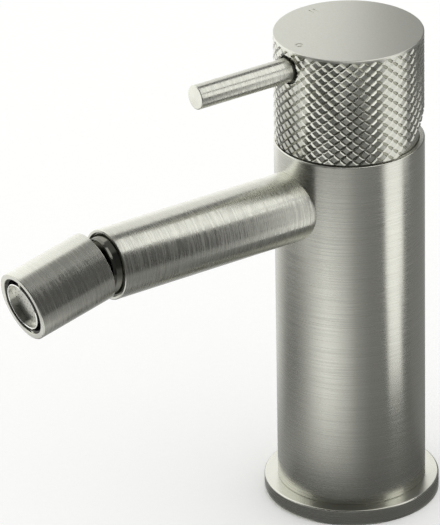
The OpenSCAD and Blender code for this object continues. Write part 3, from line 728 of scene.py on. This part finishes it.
class MIXER_OT_spout(bpy.types.Operator):
    """Builds the level spout and the polished neck in its mouth"""

    bl_idname = "mixer.spout"
    bl_label = "Spout and neck"

    def execute(self, context):
        sizes = context.scene.mixer_sizes
        mouth, radius = sizes.spout_reach, sizes.spout_radius
        saddle_gap, mouth_round, lip_round = 0.03 * MM, 0.25 * MM, 0.1 * MM
        saddle = sizes.barrel_radius + saddle_gap
        bore, wide, root_end, mouth_depth = 8.8 * MM, 9.94 * MM, 34 * MM, 12 * MM
        groove_r, groove_low, groove_high = 9.3 * MM, 26.1 * MM, 27.9 * MM

        def fitted(spot):
            """Lays the tube's root on the barrel."""
            if spot.z > TINY:
                return spot
            return Vector((spot.x, spot.y, math.sqrt(saddle ** 2 - spot.x ** 2)))

        tube = put("spout_tube_brushed", turned([
            (NIPPLE_BORE, 0),
            (radius, 0),
            (radius, mouth, mouth_round),
            (wide, mouth, lip_round),
            (wide, mouth - mouth_depth),
            (bore, mouth - mouth_depth),
            (bore, root_end),
            (NIPPLE_BORE, root_end),
            (NIPPLE_BORE, groove_high),
            (groove_r, groove_high),
            (groove_r, groove_low),
            (NIPPLE_BORE, groove_low),
        ], along_spout(), bend=fitted))
        nickel = brushed_nickel("Nickel plate brushed round the spout", along_spout())
        dress(tube, "root", "spout_tube", nickel)

        # Radius, place from the mouth and fillet of each corner
        neck = put("polished_neck", turned(in_mm(
            (6.35, -9.5),
            (7.95, -9.5),
            (7.95, -12),
            (9.91, -12),
            (9.91, -0.8),
            (9.4, -0.8, 0.1),
            (8.65, 1.6, 0.4),
            (8.65, 2.6, 0.15),
            (6.71, 2.6),
            (6.35, 2.175),
            (6.35, -4.1),
            (8.1, -4.1),
            (8.1, -5.9),
            (6.35, -5.9),
        ), along_spout(mouth)))
        # Polishing leaves a mirror. Its colour is painted dark as well, a painted shade for the shade of the gap
        # round the neck.
        shaded_polish = plain_metal(
            "Nickel plate polished with painted shade", context.scene.mixer_finish.nickel_polished_shade, 0.12, 0.6 * MM, 0.12
        )
        dress(neck, "root", "spout_collar", shaded_polish)
        return {"FINISHED"}


class MIXER_OT_nozzle(bpy.types.Operator):
    """Builds the tilting nozzle"""

    bl_idname = "mixer.nozzle"
    bl_label = "Nozzle"

    def execute(self, context):
        sizes = context.scene.mixer_sizes
        place = along_nozzle(sizes)
        radius = sizes.nozzle_radius / MM
        # Radius, place from the ball's centre and fillet of each corner
        shell = put("nozzle_sleeve", turned(in_mm(
            (10.55, -3.9, 0.08),
            (radius, -3.9, 0.5),
            (radius, 22.4, 0.3),
            (9.1, 22.4, 0.25),
            (9.1, 9),
            (6, 9),
            (6, 6.5),
            (10, 6.5),
            (10, -0.8),
            (10.2, -0.8),
            (10.2, -3.3),
        ), place))
        nickel = brushed_nickel("Nickel plate brushed round the nozzle", place)
        dress(shell, "nozzle", "nozzle_shell", nickel)
        return {"FINISHED"}


class MIXER_OT_knob(bpy.types.Operator):
    """Builds the knob's plain cap with its core and its two engraved marks"""

    bl_idname = "mixer.knob"
    bl_label = "Knob cap"

    def execute(self, context):
        sizes = context.scene.mixer_sizes
        hollow, core, core_foot, stem = 21.6 * MM, 21.87 * MM, 131 * MM, 3.03 * MM
        stem_end, arc_steps = lever_height() + 2.65 * MM, 24
        spigot_bore, clear = 2.53 * MM, 1 * MM
        top, cap_foot = sizes.knob_top, sizes.knob_top - sizes.cap_height
        first = math.asin(stem / hollow)
        last = math.acos((core_foot - PIVOT_HEIGHT) / hollow)
        arc = [first + (last - first) * step / arc_steps for step in range(arc_steps + 1)]
        section = [(0, stem_end), (stem, stem_end)]
        section += [(hollow * math.sin(a), PIVOT_HEIGHT + hollow * math.cos(a)) for a in arc]
        section += [
            (core, core_foot),
            (core, cap_foot),
            (sizes.knob_radius, cap_foot),
            (sizes.knob_radius, top, sizes.cap_round),
            (0, top),
        ]
        cap = put("knob_cap", turned(section))
        reach, size, stroke, depth = 18.2 * MM, 2.4 * MM, 0.4 * MM, 0.15 * MM
        floor, above = top - depth, top + clear
        ring = turned(
            [(size / 2 - stroke, floor), (size / 2, floor), (size / 2, above), (size / 2 - stroke, above)],
            Matrix.Translation((0, -reach, 0)), MARK_SEGMENTS,
        )
        bars = [
            block(
                (-reach - size / 2, side * size / 3 - stroke / 2, floor),
                (-reach + size / 2, side * size / 3 + stroke / 2, above),
            )
            for side in (-1, 1)
        ]
        carve(
            cap,
            lever_socket(spigot_bore, 0, sizes.knob_radius + clear),
            lever_socket(SOCKET_RADIUS, LEVER_SEAT, sizes.knob_radius + 2 * clear),
            relief_block(sizes), ring, *bars,
        )
        dress(cap, "handle", "knob_core", satin_nickel())
        paint_socket_shade(cap)
        return {"FINISHED"}


class MIXER_OT_knurl(bpy.types.Operator):
    """Builds the knob's wall with its diamond knurl, by Geometry Nodes"""

    bl_idname = "mixer.knurl"
    bl_label = "Knurled wall"

    def execute(self, context):
        sizes = context.scene.mixer_sizes
        foot, cap_foot = sizes.knob_foot, sizes.knob_top - sizes.cap_height
        pitch = 2 * (cap_foot - foot) / sizes.knurl_rows
        width = 2 * math.pi * sizes.knob_radius / sizes.knurl_count
        spacing = width * pitch / math.hypot(width, pitch)
        # Spare rows pass both ends, where close_ends cuts them off.
        spare, below = 4, 1.5
        rows = sizes.knurl_rows // 2 + spare
        lowest_row = foot - below * pitch
        # The rolled diamonds keep a smooth, glossy skin, so each wall mirrors another side. Their colour is
        # painted a shade darker than the brushed nickel, a painted shade.
        nickel = plain_metal(
            "Nickel plate knurled", context.scene.mixer_finish.nickel_knurl_shade, 0.18, 0.5 * MM, 0.08
        )
        wall = bpy.data.objects.new("knurled_wall", bpy.data.meshes.new("knurled_wall"))
        context.scene.collection.objects.link(wall)
        tree = knurl_tree(nickel)
        modifier = wall.modifiers.new("Knurl", "NODES")
        modifier.node_group = tree
        values = {
            "Radius": sizes.knob_radius,
            "Root radius": sizes.knob_radius - sizes.knurl_depth,
            "Depth": sizes.knurl_depth,
            "Flat share": 1 - sizes.groove_width / spacing,
            "Half diamond": (width / 2, pitch / 2, 0),
            "Grid length": width * (sizes.knurl_count - 1),
            "Grid height": pitch * (rows - 1),
            "Middle height": lowest_row + pitch * (rows - 1) / 2,
            "Diamonds": sizes.knurl_count,
            "Rows": rows,
        }
        for item in tree.interface.items_tree:
            if item.in_out == "INPUT":
                modifier[item.identifier] = values[item.name]
        settled(wall)
        self.close_ends(wall, foot, cap_foot)
        bore, clear = 21.9 * MM, 1 * MM
        low, high = foot - clear, cap_foot + clear
        carve(
            wall,
            turned([(0, low), (bore, low), (bore, high), (0, high)]),
            lever_socket(SOCKET_RADIUS, 0, sizes.knob_radius + 2 * clear),
            relief_block(sizes),
        )
        dress(wall, "handle", "knurl_sleeve", nickel)
        paint_socket_shade(wall)
        return {"FINISHED"}

    def close_ends(self, wall, foot, top):
        """Cuts the wrapped diamonds level at both ends and closes them to a solid."""
        mesh = bmesh.new()
        mesh.from_mesh(wall.data)
        for height, side in ((foot, -1), (top, 1)):
            cut = bmesh.ops.bisect_plane(
                mesh, geom=[*mesh.verts, *mesh.edges, *mesh.faces], dist=TINY,
                plane_co=(0, 0, height), plane_no=(0, 0, side), clear_outer=True,
            )
            edges = [item for item in cut["geom_cut"] if isinstance(item, bmesh.types.BMEdge)]
            bmesh.ops.edgeloop_fill(mesh, edges=edges)
        bmesh.ops.recalc_face_normals(mesh, faces=mesh.faces)
        mesh.to_mesh(wall.data)
        mesh.free()


class MIXER_OT_lever(bpy.types.Operator):
    """Builds the pin lever with its tapered root and threaded spigot"""

    bl_idname = "mixer.lever"
    bl_label = "Pin lever"

    def execute(self, context):
        sizes = context.scene.mixer_sizes
        seat, taper, root, thread, spigot = LEVER_SEAT, 2.6 * MM, 3.3 * MM, 2.5 * MM, 10 * MM
        edge_round = 0.3 * MM
        place = along_lever()
        lever = put("pin_lever", turned([
            (0, seat - spigot),
            (thread, seat - spigot, edge_round),
            (thread, seat),
            (root, seat),
            (sizes.lever_radius, seat + taper, edge_round),
            (sizes.lever_radius, sizes.lever_reach, sizes.lever_round),
            (0, sizes.lever_reach),
        ], place, PIN_SEGMENTS))
        nickel = brushed_nickel("Nickel plate brushed round the lever", place)
        dress(lever, "handle", "lever_rod", nickel)
        return {"FINISHED"}


class MIXER_OT_dome(bpy.types.Operator):
    """Builds the dome that closes the barrel under the knob"""

    bl_idname = "mixer.dome"
    bl_label = "Dome"

    def execute(self, context):
        outer, inner, steps = 21.2 * MM, 20.4 * MM, 32
        opening, foot = math.radians(33), lowest("dome_cover", 2)
        arc = [opening + (math.pi / 2 - opening) * step / steps for step in range(steps + 1)]
        section = [(outer * math.sin(a), PIVOT_HEIGHT + outer * math.cos(a)) for a in arc]
        section += [(outer, foot), (inner, foot)]
        section += [(inner * math.sin(a), PIVOT_HEIGHT + inner * math.cos(a)) for a in reversed(arc)]
        dome = put("rim_dome", turned(section))
        dress(dome, "root", "dome_cover", satin_nickel())
        return {"FINISHED"}


class MIXER_OT_inside(bpy.types.Operator):
    """Gives the solids that stay, such as the cartridge and the seals, their finishes"""

    bl_idname = "mixer.inside"
    bl_label = "Inner solids"

    def execute(self, context):
        finish = context.scene.mixer_finish
        # Cut brass and ground steel keep fine tool marks, lapped alumina is smooth and pale,
        # and mouldings are dull.
        fine, coarse = 0.01 * MM, 0.02 * MM
        by_slot = {
            "brass": plain_metal("Brass machined", finish.brass, 0.28, 0.3 * MM, 0.15),
            "steel": plain_metal("Stainless steel ground", finish.steel, 0.3, 0.25 * MM, 0.05),
            # The polished nickel slot gets the same dark colour, a painted shade.
            "polished_nickel": bpy.data.materials["Nickel plate polished with painted shade"],
            "satin_nickel": bpy.data.materials["Nickel plate satin"],
            "ceramic": moulded("Alumina lapped", finish.ceramic, 0.22, 0.15 * MM, fine),
            "black_plastic": moulded("Acetal moulded black", finish.black_plastic, 0.42, 0.2 * MM, fine),
            "white_plastic": moulded("Acetal moulded white", finish.white_plastic, 0.42, 0.2 * MM, fine),
            "rubber": moulded("Nitrile rubber moulded", finish.rubber, 0.6, 0.25 * MM, coarse),
        }
        for subpart in frame["record"]["subparts"]:
            node = frame["nodes"][subpart["node"]]
            if node.hide_render:
                continue
            node.data.materials.clear()
            node.data.materials.append(by_slot[subpart["material_slot"]])
        cup, cup_bore = frame["nodes"]["aerator_screen"].data, 7.07 * MM
        place = along_nozzle(context.scene.mixer_sizes)
        cup.materials[0] = spun_cup("Stainless steel spun", place, cup_bore)
        return {"FINISHED"}


class MIXER_OT_stage(bpy.types.Operator):
    """Sets the floor, the light and the camera"""

    bl_idname = "mixer.stage"
    bl_label = "Studio and camera"

    def execute(self, context):
        studio = context.scene.mixer_studio
        self.make_floor(studio)
        self.make_tent()
        self.make_mat()
        self.make_cards()
        self.make_world(context.scene, studio)
        self.make_camera(context.scene, studio)
        context.scene.view_settings.view_transform = "Standard"
        return {"FINISHED"}

    def make_floor(self, studio):
        """A pale matt floor under the foot."""
        half, depth, grain, dip = 8.0, 0.2 * MM, 2 * MM, 0.99
        floor = put("floor", block((-half, -half, -2 * depth), (half, half, -depth)))
        material, tree, shader, coords = start("Paper sweep")
        size = add(
            tree, "ShaderNodeMapping", {"Vector": coords, "Scale": (grain,) * 3}, vector_type="TEXTURE"
        )
        fibre = add(
            tree, "ShaderNodeTexNoise", {"Vector": size.outputs["Vector"], "Scale": 1.0, "Detail": 2.0}
        )
        white = linear(studio.floor)
        soft = (*(c * dip for c in white[:3]), 1.0)
        colour = add(
            tree, "ShaderNodeValToRGB", {"Fac": fibre.outputs["Fac"]}, stops=[(0.3, soft), (0.7, white)]
        )
        feed(tree, shader, {
            "Base Color": colour.outputs["Color"], "Roughness": 1.0, "Specular IOR Level": 0.0,
        })
        floor.data.materials.append(material)
        floor.visible_glossy = False

    def make_tent(self):
        """A light tent whose bright and dark walls only the metal mirrors."""
        reach, roof = 1.6, (0.3, 0.3, 0.3, 1.0)
        mesh = bmesh.new()
        bmesh.ops.create_uvsphere(mesh, u_segments=64, v_segments=32, radius=reach)
        material, tree, shader, coords = start("Tent walls")
        level = add(tree, "ShaderNodeVectorMath", {0: coords}, operation="NORMALIZE")
        height = add(tree, "ShaderNodeSeparateXYZ", {"Vector": level.outputs["Vector"]}).outputs["Z"]
        turn = add(
            tree, "ShaderNodeTexGradient", {"Vector": coords}, gradient_type="RADIAL"
        ).outputs["Fac"]
        low = add(tree, "ShaderNodeValToRGB", {"Fac": turn}, stops=self.levels(
            (-180, 0.85), (-98, 0.85), (-86, 0.1), (-58, 0.1), (-46, 0.3), (4, 0.25), (15, 0.06),
            (50, 0.06), (60, 0.2), (110, 0.22), (135, 0.4), (150, 0.8), (180, 0.85),
        ))
        high = add(tree, "ShaderNodeValToRGB", {"Fac": turn}, stops=self.levels(
            (-180, 0.8), (-128, 0.7), (-116, 0.05), (-20, 0.05), (0, 0.1), (60, 0.09), (120, 0.18),
            (142, 0.25), (155, 0.8), (180, 0.8),
        ))
        above = add(
            tree, "ShaderNodeMapRange",
            {"Value": height, "From Min": -0.1, "From Max": 0.25}, interpolation_type="SMOOTHSTEP",
        )
        over = add(
            tree, "ShaderNodeMapRange",
            {"Value": height, "From Min": 0.85, "From Max": 0.95}, interpolation_type="SMOOTHSTEP",
        )
        sides = add(
            tree, "ShaderNodeMix",
            {"Factor": above.outputs["Result"], 6: low.outputs["Color"], 7: high.outputs["Color"]},
            data_type="RGBA",
        )
        whole = add(
            tree, "ShaderNodeMix",
            {"Factor": over.outputs["Result"], 6: sides.outputs[2], 7: roof},
            data_type="RGBA",
        )
        tree.links.new(whole.outputs[2], shader.inputs["Emission Color"])
        self.show_in_metal(put("light_tent", mesh), material, shader, 1.0)

    def make_mat(self):
        """A mat which only the metal mirrors, white in front and to the left, with a painted shadow that darkens
        it by the foot.
        """
        hole, edge, low, high = 28, 255, -0.15, -0.1
        mesh = turned(in_mm((hole, low), (edge, low), (edge, high), (hole, high)), segments=64)
        material, tree, shader, coords = start("Mat")
        turn = add(
            tree, "ShaderNodeTexGradient", {"Vector": coords}, gradient_type="RADIAL"
        ).outputs["Fac"]
        wide = add(tree, "ShaderNodeValToRGB", {"Fac": turn}, stops=self.levels(
            (-180, 0.8), (-161, 0.55), (-143, 0.22), (-124, 0.18), (-111, 0.3), (-100, 0.5), (-87, 0.9),
            (-72, 1.2), (-59, 1.1), (-45, 0.8), (-27, 0.38), (-9, 0.24), (10, 0.22), (20, 0.14),
            (55, 0.16), (65, 0.22), (109, 0.25), (130, 0.4), (150, 0.7), (180, 0.8),
        ))
        # The near and core ramps are a painted shadow of the mixer on the floor round its foot.
        near = add(tree, "ShaderNodeValToRGB", {"Fac": turn}, stops=self.levels(
            (-180, 0.42), (-156, 0.38), (-140, 0.3), (-40, 0.3), (-12, 0.15), (60, 0.15), (85, 0.23),
            (125, 0.22), (150, 0.4), (180, 0.42),
        ))
        core = add(tree, "ShaderNodeValToRGB", {"Fac": turn}, stops=self.levels(
            (-180, 0.42), (-150, 0.36), (-125, 0.25), (-110, 0.12), (70, 0.12), (90, 0.22),
            (125, 0.22), (150, 0.4), (180, 0.42),
        ))
        level = core.outputs["Color"]
        far = add(tree, "ShaderNodeVectorMath", {0: coords}, operation="LENGTH").outputs["Value"]
        for outer, begin, end in ((near, 42 * MM, 58 * MM), (wide, 50 * MM, 110 * MM)):
            fade = add(tree, "ShaderNodeMapRange", {"Value": far, "From Min": begin, "From Max": end})
            level = add(
                tree, "ShaderNodeMix",
                {"Factor": fade.outputs["Result"], 6: level, 7: outer.outputs["Color"]}, data_type="RGBA",
            ).outputs[2]
        tree.links.new(level, shader.inputs["Emission Color"])
        self.show_in_metal(put("mat", mesh), material, shader, 1.0)

    def make_cards(self):
        """White cards that stand and hang near the mixer, which only the metal mirrors."""
        # Level of light, radius in mm, first and last degree round the mixer, foot and top in mm
        curtains = {
            "strip_foot_card": (1.25, 95, 17, 40, 8, 38),
            "strip_card": (1.3, 95, 14, 43.5, 38, 78),
            "strip_upper_card": (1.15, 95, 14, 43.5, 78, 178),
            "strip_side_card": (0.6, 96, 8, 54, 78, 135),
            "strip_top_card": (1.2, 95, 12, 26, 178, 215),
            "near_card": (1.3, 63, -40, 8, 148, 190),
            "left_rear_card": (1.25, 215, 128, 190, 20, 190),
            "left_rear_top_card": (1.0, 215, 142.5, 190, 190, 480),
            "left_card": (1.4, 215, 190, 252, 50, 150),
            "left_top_card": (1.4, 215, 190, 236, 150, 480),
            "front_left_card": (1.6, 140, 236, 262, 210, 242),
            "front_card": (1.6, 140, 262, 302, 234, 268),
            "front_right_card": (1.6, 80, 302, 330, 168, 208),
            "outlet_card": (1.0, 141, 240, 264, 42, 90),
        }
        steps = 16
        for name, (level, radius, first, last, foot, top) in curtains.items():
            mesh = bmesh.new()
            rows = []
            for step in range(steps + 1):
                angle = math.radians(first + (last - first) * step / steps)
                x, y = radius * math.cos(angle), radius * math.sin(angle)
                rows.append([mesh.verts.new(Vector((x, y, z)) * MM) for z in (foot, top)])
            for here, after in zip(rows, rows[1:]):
                mesh.faces.new([here[0], after[0], after[1], here[1]])
            material, _, shader, _ = start(name)
            self.show_in_metal(put(name, mesh), material, shader, level)
        rear_low, rear_high, rear_level = (-20 * MM, 0, 320 * MM), (180 * MM, 330 * MM, 321 * MM), 1.3
        material, _, shader, _ = start("rear_card")
        self.show_in_metal(put("rear_card", block(rear_low, rear_high)), material, shader, rear_level)

    def levels(self, *stops):
        """Ramp stops from angles round the mixer, in degrees, and their levels of light."""
        return [((degrees + 180) / 360, (level, level, level, 1.0)) for degrees, level in stops]

    def show_in_metal(self, made, material, shader, level):
        """Makes a stage object glow at a level, and hides it from all but glossy rays."""
        shader.inputs["Base Color"].default_value = (0.0, 0.0, 0.0, 1.0)
        shader.inputs["Specular IOR Level"].default_value = 0.0
        shader.inputs["Emission Strength"].default_value = level
        made.data.materials.append(material)
        made.visible_camera = False
        made.visible_diffuse = False
        made.visible_transmission = False
        made.visible_shadow = False

    def make_world(self, scene, studio):
        """Even white surroundings, at which a colour renders about as it is written."""
        world = bpy.data.worlds.new("White studio")
        scene.world = world
        world.use_nodes = True
        tree = world.node_tree
        tree.nodes.clear()
        light = add(
            tree, "ShaderNodeBackground", {"Color": (1.0, 1.0, 1.0, 1.0), "Strength": studio.world_strength}
        )
        add(tree, "ShaderNodeOutputWorld", {"Surface": light.outputs["Background"]})

    def make_camera(self, scene, studio):
        """The camera at the photograph's viewing angle, aimed so that the target lands at its pixel."""
        turn, rise, roll = studio.camera_turn, studio.camera_rise, studio.camera_roll
        back = Vector((math.sin(turn) * math.cos(rise), -math.cos(turn) * math.cos(rise), math.sin(rise)))
        right = (-back).cross(Vector((0, 0, 1))).normalized()
        up = right.cross(-back)
        axes = Matrix((right, up, -back))
        rolled = Matrix.Rotation(roll, 3, "Z")
        aim = Vector((
            studio.target_x - IMAGE_WIDTH / 2, IMAGE_HEIGHT / 2 - studio.target_y, studio.focal_pixels
        )).normalized()
        swing = Vector((0, 0, 1)).rotation_difference(aim).to_matrix()
        seen = swing @ rolled @ axes
        data = bpy.data.cameras.new("Camera")
        data.sensor_width = SENSOR_WIDTH
        data.lens = studio.focal_pixels / IMAGE_HEIGHT * SENSOR_WIDTH
        data.clip_start = 0.05
        data.clip_end = 50.0
        camera = bpy.data.objects.new("Camera", data)
        scene.collection.objects.link(camera)
        place = Matrix((seen[0], seen[1], -seen[2])).transposed().to_4x4()
        place.translation = back * studio.camera_distance + Vector((0, 0, studio.target_height))
        camera.matrix_world = place
        scene.camera = camera


class MIXER_PT_panel(bpy.types.Panel):
    """Lists the mixer's sizes, finishes and steps"""

    bl_idname = "MIXER_PT_panel"
    bl_label = "Bidet mixer"
    bl_space_type = "VIEW_3D"
    bl_region_type = "UI"
    bl_category = "Mixer"

    def draw(self, context):
        for step in STEPS:
            self.layout.operator(step.bl_idname)
        for group in GROUPS:
            values = getattr(context.scene, group)
            for name in values.bl_rna.properties.keys():
                if name not in ("name", "rna_type"):
                    self.layout.prop(values, name)


GROUPS = {"mixer_sizes": MixerSizes, "mixer_finish": MixerFinish, "mixer_studio": MixerStudio}
STEPS = (
    MIXER_OT_stage,
    MIXER_OT_barrel,
    MIXER_OT_spout,
    MIXER_OT_nozzle,
    MIXER_OT_knob,
    MIXER_OT_knurl,
    MIXER_OT_lever,
    MIXER_OT_dome,
    MIXER_OT_inside,
)
CLASSES = (*GROUPS.values(), *STEPS, MIXER_PT_panel)


def register():
    """Registers the classes and hangs the values on the scene."""
    for item in CLASSES:
        bpy.utils.register_class(item)
    for name, group in GROUPS.items():
        setattr(bpy.types.Scene, name, bpy.props.PointerProperty(type=group))


def unregister():
    """Takes the values and classes away again."""
    for name in GROUPS:
        delattr(bpy.types.Scene, name)
    for item in reversed(CLASSES):
        bpy.utils.unregister_class(item)


def main():
    register()
    for step in STEPS:
        group, name = step.bl_idname.split(".")
        getattr(getattr(bpy.ops, group), name)()


if __name__ == "__main__":
    main()
